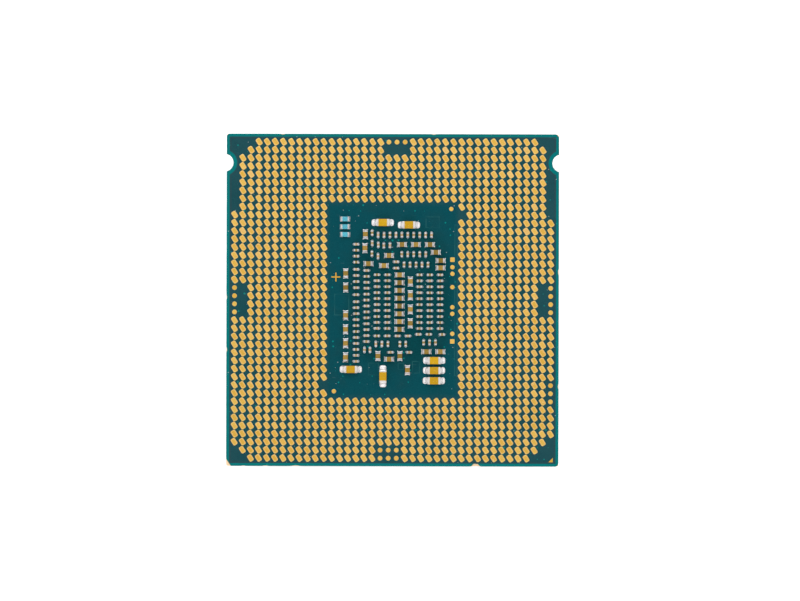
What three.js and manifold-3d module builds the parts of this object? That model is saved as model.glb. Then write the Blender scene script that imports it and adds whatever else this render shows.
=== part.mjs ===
// Land-grid processor package, lying on its lid with the contact lands up.
// Millimetres, +Z up. Origin: centre of the lid's contact face.
import * as THREE from 'three';
import { mergeVertices } from 'three/addons/utils/BufferGeometryUtils.js';
import Module from 'manifold-3d';

const wasm = await Module();
wasm.setup();

// ---- driving dimensions -------------------------------------------------

const PACKAGE = 37.5;              // side of the square substrate
const CORNER_RADIUS = 0.2;
const NOTCH = { radius: 1.0, centreOutside: 0.24, y: 15.47 };

const GRID = 40;                   // land rows and columns
const PITCH = 0.9144;              // 0.036 inch
const HOLLOW = { colFrom: 12, colTo: 27, rowFrom: 8, rowTo: 31 };   // landless middle

// thicknesses, from the lid's contact face upwards
const PLATEAU_RISE = 2.0;
const FLANGE = 1.5;
const CAVITY_DEPTH = 0.7;
const SEALANT = 0.1;
const MASK = 0.02;
const BUILD_UP = 0.08;
const CORE = 0.6;
const LAND_RISE = 0.03;
const TEST_PAD_RISE = 0.015;
const TRACK_RISE = 0.03;

const PLATEAU = { width: 28.6, height: 28.6, radius: 1.4 };
const FLANGE_BODY = { width: 32.0, height: 31.4, radius: 1.8 };
const FLANGE_EARS = { width: 34.4, height: 15.0, radius: 1.2 };
const CAVITY = { width: 24.0, height: 24.0, radius: 1.5 };
const SEALANT_RING = { width: 31.0, height: 30.4, radius: 1.5, inner: 25.0, ventGap: 2.2 };

const DIE = { width: 9.2, height: 13.0, thickness: 0.62 };
const THERMAL_INTERFACE = { width: 11.0, height: 15.0, thickness: 0.1 };
const BUMPS = { columns: 5, rows: 7, side: 0.5, plate: 0.02 };
const UNDERFILL = { rise: 0.4, foot: 0.9, lip: 0.12 };

// chip sizes over their solder: length between the ends, width, height, length of one end
const BULK = { length: 2.53, width: 0.83, height: 0.6, end: 0.78 };
const MEDIUM = { length: 1.21, width: 0.59, height: 0.45, end: 0.35 };
const SMALL = { length: 0.86, width: 0.31, height: 0.3, end: 0.27 };
const RESISTOR = { length: 1.18, width: 0.58, height: 0.35, end: 0.3 };
const CHIP_PITCH = 0.672;          // usual step between small capacitors
const WAIST_SHARE = 0.9;           // width of a chip's body over the width of its ends
const BODY_DROP = 0.02;            // how far the body's top lies under the ends' top
const TRACK_SHARE = 0.7;           // width of a joining track over the width of what it joins

const ROUND_PAD = 0.49;            // diameter
const SQUARE_PAD = 0.5;            // side
const PROBE_TRACE = 0.12;

const SNAP = 1e-4;                 // modelling grid
const CLEAR = 1;                   // how far a cutting tool stands out past what it cuts

// ---- heights worked out from them ---------------------------------------

const zFlange = PLATEAU_RISE;
const zLidTop = zFlange + FLANGE;
const zCavity = zLidTop - CAVITY_DEPTH;
const zLidMask = zLidTop + SEALANT;
const zLidBuildUp = zLidMask + MASK;
const zCore = zLidBuildUp + BUILD_UP;
const zLandBuildUp = zCore + CORE;
const zLandMask = zLandBuildUp + BUILD_UP;
const zBoard = zLandMask + MASK;
const zDie = zCavity + THERMAL_INTERFACE.thickness;
const zBumps = zDie + DIE.thickness;

// ---- materials ----------------------------------------------------------

const finish = (color, roughness, metalness) =>
  new THREE.MeshStandardMaterial({ color, roughness, metalness });

const nickel = finish('#b9b6ae', 0.38, 1.0);
const sealantBlack = finish('#1b1c1e', 0.75, 0.0);
const indium = finish('#a9acb0', 0.45, 1.0);
const silicon = finish('#3a3f47', 0.18, 0.4);
const solder = finish('#c9c9cc', 0.35, 1.0);
const epoxy = finish('#2a2620', 0.55, 0.0);
const maskGreen = finish('#124f5a', 0.3, 0.0);
const buildUpFilm = finish('#2c5a4a', 0.5, 0.0);
const laminate = finish('#b79c62', 0.7, 0.0);
const gold = finish('#e3b565', 0.32, 1.0);
const ochreCeramic = finish('#b98a22', 0.5, 0.0);
const brownCeramic = finish('#a37a35', 0.5, 0.0);
const tanCeramic = finish('#c9a878', 0.5, 0.0);
const blueGlaze = finish('#62bccf', 0.35, 0.0);

// ---- shape helpers ------------------------------------------------------

function roundedRectangle({ width, height, radius }) {
  const x = width / 2;
  const y = height / 2;
  const shape = new THREE.Shape();
  shape.moveTo(-x + radius, -y);
  shape.lineTo(x - radius, -y);
  shape.absarc(x - radius, -y + radius, radius, -Math.PI / 2, 0);
  shape.lineTo(x, y - radius);
  shape.absarc(x - radius, y - radius, radius, 0, Math.PI / 2);
  shape.lineTo(-x + radius, y);
  shape.absarc(-x + radius, y - radius, radius, Math.PI / 2, Math.PI);
  shape.lineTo(-x, -y + radius);
  shape.absarc(-x + radius, -y + radius, radius, Math.PI, 1.5 * Math.PI);
  return shape;
}

function slab(shape, zLow, zHigh, curveSegments = 4) {
  const options = { depth: zHigh - zLow, bevelEnabled: false, curveSegments };
  return new THREE.ExtrudeGeometry(shape, options).translate(0, 0, zLow);
}

function block(x, y, width, height, zLow, zHigh) {
  const geometry = new THREE.BoxGeometry(width, height, zHigh - zLow);
  return geometry.translate(x, y, (zLow + zHigh) / 2);
}

function disc(x, y, diameter, zLow, zHigh, sides = 12) {
  const geometry = new THREE.CylinderGeometry(diameter / 2, diameter / 2, zHigh - zLow, sides);
  return geometry.rotateX(Math.PI / 2).translate(x, y, (zLow + zHigh) / 2);
}

// A block whose upper face is smaller or larger than its lower one.
function taperedBlock(lower, upper, zLow, zHigh) {
  const geometry = block(0, 0, 2, 2, zLow, zHigh);
  const position = geometry.attributes.position;
  const middle = (zLow + zHigh) / 2;
  for (let i = 0; i < position.count; i += 1) {
    const end = position.getZ(i) > middle ? upper : lower;
    position.setX(i, position.getX(i) * end.width / 2);
    position.setY(i, position.getY(i) * end.height / 2);
  }
  return geometry;
}

// Coordinates are snapped to a fine grid, so that faces meant to touch do.
function solidOf(geometry) {
  const snapped = Float32Array.from(
    geometry.attributes.position.array,
    (value) => Math.round(value / SNAP) * SNAP,
  );
  const bare = new THREE.BufferGeometry();
  bare.setAttribute('position', new THREE.BufferAttribute(snapped, 3));
  bare.setIndex(geometry.index);
  const merged = mergeVertices(bare, 1e-5);
  return new wasm.Manifold(new wasm.Mesh({
    numProp: 3,
    vertProperties: merged.attributes.position.array,
    triVerts: new Uint32Array(merged.index.array),
  }));
}

function geometryOf(solid) {
  const mesh = solid.getMesh();
  const geometry = new THREE.BufferGeometry();
  geometry.setAttribute('position', new THREE.BufferAttribute(mesh.vertProperties, 3));
  geometry.setIndex(new THREE.BufferAttribute(mesh.triVerts, 1));
  return geometry;
}

const union = (geometries) => geometryOf(geometries.map(solidOf).reduce((a, b) => a.add(b)));
const cut = (geometry, tool) => geometryOf(solidOf(geometry).subtract(solidOf(tool)));

// ---- the assembly -------------------------------------------------------

const processor = new THREE.Group();
processor.name = 'processor';

function addPart(name, geometry, material) {
  const mesh = new THREE.Mesh(geometry, material);
  mesh.name = name;
  processor.add(mesh);
}

// ---- lid, die and what bonds them ---------------------------------------

function heatSpreader() {
  const plateau = slab(roundedRectangle(PLATEAU), 0, zFlange);
  const body = slab(roundedRectangle(FLANGE_BODY), zFlange, zLidTop);
  const ears = slab(roundedRectangle(FLANGE_EARS), zFlange, zLidTop);
  const cavity = slab(roundedRectangle(CAVITY), zCavity, zLidTop + CLEAR);
  return cut(union([plateau, body, ears]), cavity);
}

// A ring open on its lower side, where trapped air leaves during curing.
function sealantRing() {
  const { inner, radius, ventGap, height } = SEALANT_RING;
  const outside = slab(roundedRectangle(SEALANT_RING), zLidTop, zLidMask);
  const insideShape = roundedRectangle({ width: inner, height: inner, radius });
  const low = zLidTop - CLEAR;
  const high = zLidMask + CLEAR;
  const ring = cut(outside, slab(insideShape, low, high));
  return cut(ring, block(0, -height / 2, ventGap, height - inner + CLEAR, low, high));
}

function bumpArray() {
  const stepX = DIE.width / BUMPS.columns;
  const stepY = DIE.height / BUMPS.rows;
  const pieces = [block(0, 0, DIE.width, DIE.height, zBumps, zBumps + BUMPS.plate)];
  for (let column = 0; column < BUMPS.columns; column += 1) {
    for (let row = 0; row < BUMPS.rows; row += 1) {
      const x = (column - (BUMPS.columns - 1) / 2) * stepX;
      const y = (row - (BUMPS.rows - 1) / 2) * stepY;
      pieces.push(block(x, y, BUMPS.side, BUMPS.side, zBumps, zLidMask));
    }
  }
  return union(pieces);
}

function underfillFillet() {
  const sized = (spread) => ({ width: DIE.width + 2 * spread, height: DIE.height + 2 * spread });
  const low = zLidMask - UNDERFILL.rise;
  const outside = taperedBlock(sized(UNDERFILL.lip), sized(UNDERFILL.foot), low, zLidMask);
  return cut(outside, block(0, 0, DIE.width, DIE.height, zLidMask - CLEAR, zLidMask + CLEAR));
}

function thermalPad() {
  const { width, height } = THERMAL_INTERFACE;
  return block(0, 0, width, height, zCavity, zDie);
}

addPart('heat_spreader', heatSpreader(), nickel);
addPart('lid_sealant', sealantRing(), sealantBlack);
addPart('thermal_interface', thermalPad(), indium);
addPart('silicon_die', block(0, 0, DIE.width, DIE.height, zDie, zBumps), silicon);
addPart('solder_bumps', bumpArray(), solder);
addPart('underfill', underfillFillet(), epoxy);

// ---- substrate ----------------------------------------------------------

// Square with rounded corners and a half-round key notch in the left and right edges.
function substrateOutline() {
  const half = PACKAGE / 2;
  const { radius, centreOutside, y } = NOTCH;
  const halfAngle = Math.acos(centreOutside / radius);
  const shape = new THREE.Shape();
  shape.moveTo(-half + CORNER_RADIUS, -half);
  shape.absarc(half - CORNER_RADIUS, -half + CORNER_RADIUS, CORNER_RADIUS, -Math.PI / 2, 0);
  shape.absarc(half + centreOutside, y, radius, Math.PI + halfAngle, Math.PI - halfAngle, true);
  shape.absarc(half - CORNER_RADIUS, half - CORNER_RADIUS, CORNER_RADIUS, 0, Math.PI / 2);
  shape.absarc(-half + CORNER_RADIUS, half - CORNER_RADIUS, CORNER_RADIUS, Math.PI / 2, Math.PI);
  shape.absarc(-half - centreOutside, y, radius, halfAngle, -halfAngle, true);
  shape.absarc(-half + CORNER_RADIUS, -half + CORNER_RADIUS, CORNER_RADIUS, Math.PI, 1.5 * Math.PI);
  return shape;
}

const layer = (zLow, zHigh) => slab(substrateOutline(), zLow, zHigh, 6);
addPart('lid_side_solder_mask', layer(zLidMask, zLidBuildUp), maskGreen);
addPart('lid_side_build_up', layer(zLidBuildUp, zCore), buildUpFilm);
addPart('core_laminate', layer(zCore, zLandBuildUp), laminate);
addPart('land_side_build_up', layer(zLandBuildUp, zLandMask), buildUpFilm);
addPart('land_side_solder_mask', layer(zLandMask, zBoard), maskGreen);

// ---- lands --------------------------------------------------------------

// Columns count from the left and rows from the top, both from 0.
const last = GRID - 1;
const within = (value, from, to) => value >= from && value <= to;

// Round test pads take the place of a few lands in the middle of each side.
function isTestPad(col, row) {
  if (row === 0) return within(col, 19, 21);
  if (row >= last - 1) return within(col, 18, 20);
  if (col === last && within(row, 30, 32)) return true;
  return (col === 0 || col === last) && within(row, 18, 21);
}

function isBare(col, row) {
  const { colFrom, colTo, rowFrom, rowTo } = HOLLOW;
  if (within(col, colFrom, colTo) && within(row, rowFrom, rowTo)) return true;
  if ((col === 28 && row === 9) || (col === 11 && row === 30)) return true;
  if (row === 0) return col <= 2 || col >= last - 1;
  if (row === 1) return col <= 1 || col === last || within(col, 19, 21);
  if (row === last) return col <= 1 || col >= last - 2;
  if (row === last - 1) return col === 0 || col >= last - 1;
  if (row === last - 2) return col === last;
  if (within(row, 18, 21)) return col === 1 || col === last - 1;
  return (col === 0 && row <= 8) || (col === last && row <= 9);
}

// One field is a thin sheet over the cells that hold its lands, lower where a cell holds a test pad.
function landField(colFrom, colTo, rowFrom, rowTo) {
  const pieces = [];
  const addRun = (start, end, row, rise) => {
    const x = ((start + end) / 2 - last / 2) * PITCH;
    const y = (last / 2 - row) * PITCH;
    pieces.push(block(x, y, (end - start + 1) * PITCH, PITCH, zBoard, zBoard + rise));
  };
  const riseOf = (col, row) => {
    if (col > colTo || isBare(col, row)) return 0;
    return isTestPad(col, row) ? TEST_PAD_RISE : LAND_RISE;
  };
  for (let row = rowFrom; row <= rowTo; row += 1) {
    let start = colFrom;
    for (let col = colFrom; col <= colTo; col += 1) {
      if (riseOf(col, row) !== riseOf(col + 1, row)) {
        if (riseOf(col, row) > 0) addRun(start, col, row, riseOf(col, row));
        start = col + 1;
      }
    }
  }
  return union(pieces);
}

addPart('land_field_north', landField(0, last, 0, HOLLOW.rowFrom - 1), gold);
addPart('land_field_south', landField(0, last, HOLLOW.rowTo + 1, last), gold);
addPart('land_field_west', landField(0, HOLLOW.colFrom - 1, HOLLOW.rowFrom, HOLLOW.rowTo), gold);
addPart('land_field_east', landField(HOLLOW.colTo + 1, last, HOLLOW.rowFrom, HOLLOW.rowTo), gold);

// ---- marks and probe pads -----------------------------------------------

function pinOneMark() {
  const corner = { x: 18.11, y: -18.24 };
  const leg = 0.5;
  const shape = new THREE.Shape();
  shape.moveTo(corner.x, corner.y);
  shape.lineTo(corner.x, corner.y + leg);
  shape.lineTo(corner.x - leg, corner.y);
  return slab(shape, zBoard, zBoard + TEST_PAD_RISE);
}

function alignmentCross() {
  const centre = { x: -6.4, y: 2.6 };
  const span = 1.0;
  const arm = 0.13;
  const top = zBoard + TEST_PAD_RISE;
  return union([
    block(centre.x, centre.y, arm, span, zBoard, top),
    block(centre.x, centre.y, span, arm, zBoard, top),
  ]);
}

// Pads along the right side of the middle, joined by one buried trace.
function probePads() {
  const x = 6.74;
  const top = zBoard + TEST_PAD_RISE;
  const squares = [4.58, -4.64];
  const rounds = [3.73, 2.98, 1.48, -0.78, -1.53, -3.78];
  const length = squares[0] - squares[1];
  return union([
    block(x, squares[0] - length / 2, PROBE_TRACE, length, zBoard, zBoard + TEST_PAD_RISE / 2),
    ...squares.map((y) => block(x, y, SQUARE_PAD, SQUARE_PAD, zBoard, top)),
    ...rounds.map((y) => disc(x, y, ROUND_PAD, zBoard, top)),
  ]);
}

addPart('pin_one_mark', pinOneMark(), gold);
addPart('alignment_cross', alignmentCross(), gold);
addPart('probe_pads', probePads(), gold);
addPart('fiducial_upper_right', disc(6.6, 10.3, ROUND_PAD, zBoard, zBoard + TEST_PAD_RISE), gold);
addPart('fiducial_lower_left', disc(-6.6, -10.29, ROUND_PAD, zBoard, zBoard + TEST_PAD_RISE), gold);

// ---- chip components ----------------------------------------------------

// One chip with its solder: a narrower body between two full-width ends.
function detailedChip(kind, x, y, upright) {
  const { length, width, height, end } = kind;
  const waist = width * WAIST_SHARE;
  const top = zBoard + height;
  const along = (offset) => (upright ? [x, y + offset] : [x + offset, y]);
  const bar = (offset, run, across, zHigh) => {
    const [cx, cy] = along(offset);
    return block(cx, cy, upright ? across : run, upright ? run : across, zBoard, zHigh);
  };
  const endOffset = (length - end) / 2;
  return union([
    bar(0, length - end, waist, top - BODY_DROP),
    bar(endOffset, end, width, top),
    bar(-endOffset, end, width, top),
  ]);
}

function plainChip(kind, x, y, upright) {
  const { length, width, height } = kind;
  return block(x, y, upright ? width : length, upright ? length : width, zBoard, zBoard + height);
}

// Copper track between two points, cut off square to one axis at both ends.
function track(from, to, width, acrossX) {
  const dx = acrossX ? width / 2 : 0;
  const dy = acrossX ? 0 : width / 2;
  const shape = new THREE.Shape();
  shape.moveTo(from[0] - dx, from[1] - dy);
  shape.lineTo(from[0] + dx, from[1] + dy);
  shape.lineTo(to[0] + dx, to[1] + dy);
  shape.lineTo(to[0] - dx, to[1] - dy);
  return slab(shape, zBoard, zBoard + TRACK_RISE);
}

// Chips side by side: one track joins their grounded ends.
function ladder(kind, places, upright) {
  const offset = (kind.length - kind.end) / 2;
  const grounded = ([x, y]) => (upright ? [x, y + offset] : [x + offset, y]);
  const pieces = places.map(([x, y]) => plainChip(kind, x, y, upright));
  for (let i = 1; i < places.length; i += 1) {
    pieces.push(track(grounded(places[i - 1]), grounded(places[i]), kind.end * TRACK_SHARE, !upright));
  }
  return union(pieces);
}

// Chips end to end: a short track joins each pair of neighbouring ends.
function chain(kind, places, upright) {
  const pieces = places.map(([x, y]) => plainChip(kind, x, y, upright));
  for (let i = 1; i < places.length; i += 1) {
    pieces.push(track(places[i - 1], places[i], kind.width * TRACK_SHARE, upright));
  }
  return union(pieces);
}

const steps = (start, count, step) => Array.from({ length: count }, (_, i) => start + i * step);
const column = (x, ys) => ys.map((y) => [x, y]);
const rank = (y, xs) => xs.map((x) => [x, y]);

// Small capacitors lying across: columns down the middle of the hollow.
const middleColumn = steps(2.86, 10, -CHIP_PITCH);
const outerColumn = [
  ...steps(6.29, 4, -CHIP_PITCH),
  ...steps(3.46, 4, -0.69),
  0.61,
  ...steps(-0.19, 11, -CHIP_PITCH),
];
const smallColumns = {
  a: column(-4.11, outerColumn),
  b: column(-2.94, steps(3.34, 13, -0.6675)),
  c: column(-1.77, [...middleColumn, -4.03]),
  d: column(-0.59, [...middleColumn, -4.03]),
  e: [...column(3.03, middleColumn), [2.92, -3.84]],
  f: [...column(4.19, middleColumn), [4.09, -3.84]],
  g: [...column(5.36, middleColumn), [5.59, -3.86]],
  h: column(0.39, [4.32, 3.61]),
};
for (const [letter, places] of Object.entries(smallColumns)) {
  addPart(`small_capacitors_column_${letter}`, ladder(SMALL, places, false), tanCeramic);
}

// Small capacitors standing upright in rows.
const smallRows = {
  a: [[-2.32, 7.59], ...rank(7.35, steps(-1.65, 10, 0.669))],
  b: [[-2.31, 6.41], [-1.63, 6.24], [-1.0, 6.15], [-0.31, 6.17]],
  c: [[-2.34, 5.24], [-1.66, 4.94]],
  d: rank(5.18, steps(1.02, 5, 0.675)),
  e: rank(4.01, steps(1.28, 5, 0.675)),
  f: rank(-4.76, steps(3.51, 3, 0.665)),
  g: rank(-4.94, [...steps(-1.88, 3, 0.685), 0.83, 1.49]),
  h: rank(-5.61, [-3.16, -2.54]),
};
for (const [letter, places] of Object.entries(smallRows)) {
  addPart(`small_capacitors_row_${letter}`, ladder(SMALL, places, true), tanCeramic);
}
addPart('small_capacitors_pair', chain(SMALL, rank(-4.03, [0.57, 1.73]), false), tanCeramic);
addPart('small_capacitor_1', plainChip(SMALL, -0.22, -5.88, false), tanCeramic);
addPart('small_capacitor_2', plainChip(SMALL, 1.89, -5.88, false), tanCeramic);

const mediumLadders = {
  centre: column(0.78, steps(2.85, 8, -0.877)),
  right: [[4.86, 5.4], [5.41, 4.47], [5.4, 3.66]],
};
for (const [where, places] of Object.entries(mediumLadders)) {
  addPart(`medium_capacitors_${where}`, ladder(MEDIUM, places, false), brownCeramic);
}
const mediumUprightChains = {
  inner: column(2.0, steps(2.12, 4, -1.573)),
  left: column(-5.29, [3.0, 1.41, ...steps(-1.72, 4, -1.577)]),
  upper_left: [[-3.08, 7.43], [-3.13, 5.86]],
};
for (const [where, places] of Object.entries(mediumUprightChains)) {
  addPart(`medium_capacitors_${where}`, chain(MEDIUM, places, true), brownCeramic);
}
const mediumChains = {
  top: rank(6.27, steps(1.04, 3, 1.58)),
  upper_middle: [[-2.74, 4.11], [-0.99, 3.89]],
  lower_right: rank(-5.8, [3.83, 5.39]),
};
for (const [where, places] of Object.entries(mediumChains)) {
  addPart(`medium_capacitors_${where}`, chain(MEDIUM, places, false), brownCeramic);
}
const mediumSingles = [
  [-1.64, -6.3, true],
  [0.83, -6.3, true],
  [1.69, -7.87, true],
  [-0.41, 5.03, false],
  [-0.38, -6.65, false],
];
mediumSingles.forEach(([x, y, upright], index) => {
  addPart(`medium_capacitor_${index + 1}`, detailedChip(MEDIUM, x, y, upright), brownCeramic);
});

const bulkSingles = [
  [-1.13, 8.74, false],
  [1.81, 8.48, false],
  [-4.71, -7.81, false],
  [-1.07, -8.58, true],
];
bulkSingles.forEach(([x, y, upright], index) => {
  addPart(`bulk_capacitor_${index + 1}`, detailedChip(BULK, x, y, upright), ochreCeramic);
});
addPart('bulk_capacitors_right', ladder(BULK, column(4.69, [-6.8, -7.92, -9.07]), false), ochreCeramic);

steps(9.13, 3, -0.87).forEach((y, index) => {
  addPart(`resistor_${index + 1}`, detailedChip(RESISTOR, -5.38, y, false), blueGlaze);
});

export default processor;
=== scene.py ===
import math
import random

import bpy
import numpy as np
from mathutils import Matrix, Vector


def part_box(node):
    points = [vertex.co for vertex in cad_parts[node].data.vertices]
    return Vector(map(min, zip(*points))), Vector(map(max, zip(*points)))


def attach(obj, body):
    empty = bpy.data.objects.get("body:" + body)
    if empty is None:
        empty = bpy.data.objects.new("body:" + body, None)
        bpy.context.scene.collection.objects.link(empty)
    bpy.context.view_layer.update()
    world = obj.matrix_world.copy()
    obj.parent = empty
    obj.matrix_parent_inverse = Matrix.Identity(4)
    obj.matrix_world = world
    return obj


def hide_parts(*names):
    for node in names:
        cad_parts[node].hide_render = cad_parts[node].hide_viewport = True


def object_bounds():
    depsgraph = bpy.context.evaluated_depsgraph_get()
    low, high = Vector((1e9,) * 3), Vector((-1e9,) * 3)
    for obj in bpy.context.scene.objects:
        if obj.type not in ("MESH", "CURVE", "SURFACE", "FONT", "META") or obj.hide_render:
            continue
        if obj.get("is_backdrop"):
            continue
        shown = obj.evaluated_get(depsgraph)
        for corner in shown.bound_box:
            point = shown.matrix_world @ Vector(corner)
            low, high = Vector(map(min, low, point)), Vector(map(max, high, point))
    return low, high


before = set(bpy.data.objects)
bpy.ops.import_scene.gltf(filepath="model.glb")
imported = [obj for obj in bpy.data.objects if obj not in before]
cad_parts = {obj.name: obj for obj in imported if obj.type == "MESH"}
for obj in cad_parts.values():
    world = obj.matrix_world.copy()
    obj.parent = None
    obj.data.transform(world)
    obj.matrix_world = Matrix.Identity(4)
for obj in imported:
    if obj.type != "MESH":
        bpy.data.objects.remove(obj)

# A processor package lying on its lid, lands up. Lengths below are millimetres in
# the frame of the CAD model, and become metres when a mesh is made.

cad_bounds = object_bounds()
rng = random.Random(37)
MM = 0.001


def box_mm(node):
    low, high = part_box(node)
    return np.array(low) / MM, np.array(high) / MM


# ---- what the CAD model says ------------------------------------------------

_, board_high = box_mm("land_side_solder_mask")
HALF = board_high[0]                       # half the package's side
TOP = board_high[2]                        # upper face of the solder mask
GRID = 40                                  # places for lands along each side
PITCH = 0.9144
# The key notches on the left and right edges: their centres lie NOTCH_OUTSIDE past the edge.
NOTCH_Y, NOTCH_RADIUS, NOTCH_OUTSIDE = 15.47, 1.0, 0.24


def triangles(node):
    """The node's triangles as an array of shape (n, 3, 3), in millimetres."""
    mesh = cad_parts[node].data
    mesh.calc_loop_triangles()
    points = np.empty(len(mesh.vertices) * 3)
    mesh.vertices.foreach_get("co", points)
    points = points.reshape(-1, 3) / MM
    corners = np.empty(len(mesh.loop_triangles) * 3, int)
    mesh.loop_triangles.foreach_get("vertices", corners)
    return points[corners.reshape(-1, 3)]


def top_patches(node):
    """The separate flat areas at the node's highest level, each as x0, y0, x1, y1."""
    faces = triangles(node)
    slack = 0.002
    on_top = (faces[:, :, 2] > faces[:, :, 2].max() - slack).all(axis=1)
    patches = []
    for face in faces[on_top]:
        keys = {tuple(np.round(p[:2], 3)) for p in face}
        touching = [p for p in patches if p & keys]
        patches = [p for p in patches if not p & keys]
        patches.append(keys.union(*touching))
    boxes = []
    for patch in patches:
        xs, ys = zip(*patch)
        boxes.append((min(xs), min(ys), max(xs), max(ys)))
    return sorted(boxes, key=lambda b: (-round(b[3], 1), b[0]))


def height_at(faces, x, y):
    """Height of the highest triangle over a point, or None where there is none."""
    def side(p, q):
        return (q[:, 0] - p[:, 0]) * (y - p[:, 1]) - (q[:, 1] - p[:, 1]) * (x - p[:, 0])

    a, b, c = faces[:, 0], faces[:, 1], faces[:, 2]
    s1, s2, s3 = side(a, b), side(b, c), side(c, a)
    on_edge, upright = -1e-9, 1e-6         # a triangle that stands upright covers no area
    inside = (s1 >= on_edge) & (s2 >= on_edge) & (s3 >= on_edge)
    over = inside & (s1 + s2 + s3 > upright)
    return faces[over][:, :, 2].max() if over.any() else None


# ---- meshes -----------------------------------------------------------------

class Body:
    """Gathers lofted shells into one mesh. Each point carries a tint of three numbers."""

    def __init__(self):
        self.points, self.tints, self.faces, self.slots = [], [], [], []

    def loft(self, rings, slot=0, tint=(0, 0, 0), tints=None):
        """Skins rings of equal length, lowest first and each counter-clockwise from above.

        All their points get one tint, or those of each ring its own from tints.
        """
        start, count = len(self.points), len(rings[0])
        for index, ring in enumerate(rings):
            self.points.extend(map(tuple, ring))
            self.tints.extend([tints[index] if tints else tint] * count)
        for level in range(len(rings) - 1):
            low, high = start + level * count, start + (level + 1) * count
            for i in range(count):
                j = (i + 1) % count
                self.faces.append((low + i, low + j, high + j, high + i))
                self.slots.append(slot)
        last = start + (len(rings) - 1) * count
        self.faces.append(tuple(range(start + count - 1, start - 1, -1)))
        self.faces.append(tuple(range(last, last + count)))
        self.slots.extend([slot, slot])

    def piece(self, name, materials, slot, replaces, sharp=38):
        """Makes what is gathered a piece of the part. Edges over sharp degrees stay sharp."""
        mesh = bpy.data.meshes.new(name)
        mesh.from_pydata([tuple(c * MM for c in p) for p in self.points], [], self.faces)
        for material in materials:
            mesh.materials.append(material)
        mesh.polygons.foreach_set("material_index", self.slots)
        mesh.polygons.foreach_set("use_smooth", [True] * len(self.faces))
        colours = mesh.attributes.new("tint", "FLOAT_COLOR", "POINT")
        colours.data.foreach_set("color", [c for t in self.tints for c in (*t, 1.0)])
        mesh.set_sharp_from_angle(angle=math.radians(sharp))
        mesh.update()
        piece = bpy.data.objects.new(name, mesh)
        bpy.context.scene.collection.objects.link(piece)
        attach(piece, "root")
        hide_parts(*replaces)


def rounded_ring(x0, x1, y0, y1, radii, z, steps=4, pinch=(0, 0)):
    """Rounded rectangle, counter-clockwise.

    radii are those of the corners on its low and high x sides, and pinch is how far the
    middle of each of these sides is drawn in.
    """
    most = min((x1 - x0) / 2, (y1 - y0) / 2) - 1e-4
    # each corner with the angle its arc starts at, and the points along the side that follows
    up, down = (0.25, 0.5, 0.75), (0.75, 0.5, 0.25)
    corners = [(x1, y0, -90, up), (x1, y1, 0, ()), (x0, y1, 90, down), (x0, y0, 180, ())]
    middle, half = (y0 + y1) / 2, (y1 - y0) / 2
    points = []
    for cx, cy, start, shares in corners:
        radius = min(radii[1] if cx == x1 else radii[0], most)
        ox = cx - radius if cx == x1 else cx + radius
        oy = cy - radius if cy == y1 else cy + radius
        for k in range(steps):
            a = math.radians(start + 90 * k / (steps - 1))
            points.append((ox + radius * math.cos(a), oy + radius * math.sin(a)))
        low, high = y0 + radius, y1 - radius
        points.extend((cx, low + (high - low) * share) for share in shares)
    shaped = []
    for x, y in points:
        bow = max(0.0, 1 - ((y - middle) / half) ** 2)
        if x > (x0 + x1) / 2:
            x -= pinch[1] * bow
        else:
            x += pinch[0] * bow
        shaped.append((x, y, z))
    return np.array(shaped)


# ---- material graphs --------------------------------------------------------

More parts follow.
